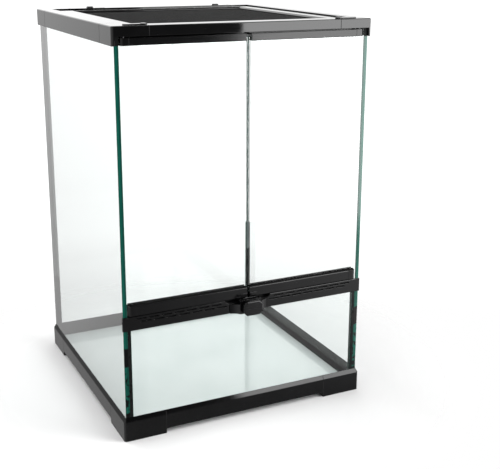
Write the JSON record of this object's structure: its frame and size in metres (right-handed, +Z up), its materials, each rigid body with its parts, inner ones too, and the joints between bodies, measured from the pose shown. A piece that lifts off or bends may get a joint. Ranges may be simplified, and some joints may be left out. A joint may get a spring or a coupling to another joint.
{
  "type": "reptile terrarium",
  "caption": "Front-opening glass terrarium with hinged doors over a vent rail, a turn latch, a lift-off screen lid and closable cable inlets.",
  "frame": {"origin": "on the ground, at the middle of the whole outline including the latch knob", "axes": "+X to the object's right seen from the front, +Y from front to back, +Z up"},
  "size_m": [0.305, 0.319, 0.459],
  "materials": {
    "black_plastic": "glossy moulded black",
    "inner_plastic": "plain moulded black",
    "clear_glass": "clear float glass with green edges",
    "clear_seal": "clear silicone",
    "black_seal": "black silicone",
    "black_mesh": "black coated wire",
    "steel_pin": "blackened turned steel"
  },
  "bodies": {
    "tank": {"base_corner_front_left": "black_plastic", "base_corner_front_right": "black_plastic", "base_corner_rear_right": "black_plastic", "base_corner_rear_left": "black_plastic", "base_rail_front": "black_plastic", "base_rail_right": "black_plastic", "base_rail_rear": "black_plastic", "base_rail_left": "black_plastic", "floor_glass": "clear_glass", "side_glass_left": "clear_glass", "side_glass_right": "clear_glass", "rear_glass": "clear_glass", "rear_seal_left": "clear_seal", "rear_seal_right": "clear_seal", "front_glass": "clear_glass", "front_strip_left": "black_seal", "front_strip_right": "black_seal", "vent_rail": "black_plastic", "latch_housing": "black_plastic", "top_rail_front": "black_plastic", "top_rail_right": "black_plastic", "top_rail_rear": "black_plastic", "top_rail_left": "black_plastic", "top_corner_front_left": "black_plastic", "top_corner_front_right": "black_plastic", "top_corner_rear_right": "black_plastic", "top_corner_rear_left": "black_plastic"},
    "left_door": {"door_glass_left": "clear_glass", "door_bottom_rail_left": "black_plastic", "door_top_rail_left": "black_plastic", "hinge_block_bottom_left": "black_plastic", "hinge_block_top_left": "black_plastic", "hinge_pin_bottom_left": "steel_pin", "hinge_pin_top_left": "steel_pin", "door_catch_left": "black_plastic"},
    "right_door": {"door_glass_right": "clear_glass", "door_bottom_rail_right": "black_plastic", "door_top_rail_right": "black_plastic", "hinge_block_bottom_right": "black_plastic", "hinge_block_top_right": "black_plastic", "hinge_pin_bottom_right": "steel_pin", "hinge_pin_top_right": "steel_pin", "door_catch_right": "black_plastic"},
    "latch": {"latch_knob": "black_plastic", "latch_spindle": "inner_plastic", "latch_cam": "inner_plastic", "latch_clip": "inner_plastic"},
    "screen_lid": {"screen_frame": "black_plastic", "screen_mesh": "black_mesh"},
    "left_inlet_gate": {"inlet_gate_left": "black_plastic"},
    "right_inlet_gate": {"inlet_gate_right": "black_plastic"},
    "left_lid_lock": {"lid_lock_left": "black_plastic", "lock_pin_left": "inner_plastic"},
    "right_lid_lock": {"lid_lock_right": "black_plastic", "lock_pin_right": "inner_plastic"}
  },
  "joints": [
    {"name": "left_door_swing", "type": "hinge", "parent": "tank", "child": "left_door", "pos_m": [-0.139, -0.1395, 0.147], "axis": [0, 0, -1], "range_deg": [0, 95]},
    {"name": "right_door_swing", "type": "hinge", "parent": "tank", "child": "right_door", "pos_m": [0.139, -0.1395, 0.147], "axis": [0, 0, 1], "range_deg": [0, 95]},
    {"name": "knob_turn", "type": "hinge", "parent": "tank", "child": "latch", "pos_m": [0, -0.144, 0.1388], "axis": [0, -1, 0], "range_deg": [0, 90]},
    {"name": "lid_lift", "type": "slide", "parent": "tank", "child": "screen_lid", "axis": [0, 0, 1], "range_m": [0, 0.06]},
    {"name": "left_gate_slide", "type": "slide", "parent": "tank", "child": "left_inlet_gate", "axis": [1, 0, 0], "range_m": [0, 0.016]},
    {"name": "right_gate_slide", "type": "slide", "parent": "tank", "child": "right_inlet_gate", "axis": [1, 0, 0], "range_m": [0, 0.016]},
    {"name": "left_lock_turn", "type": "hinge", "parent": "tank", "child": "left_lid_lock", "pos_m": [-0.115, -0.135, 0.457], "axis": [0, 0, -1], "range_deg": [0, 90]},
    {"name": "right_lock_turn", "type": "hinge", "parent": "tank", "child": "right_lid_lock", "pos_m": [0.115, -0.135, 0.457], "axis": [0, 0, 1], "range_deg": [0, 90]}
  ]
}
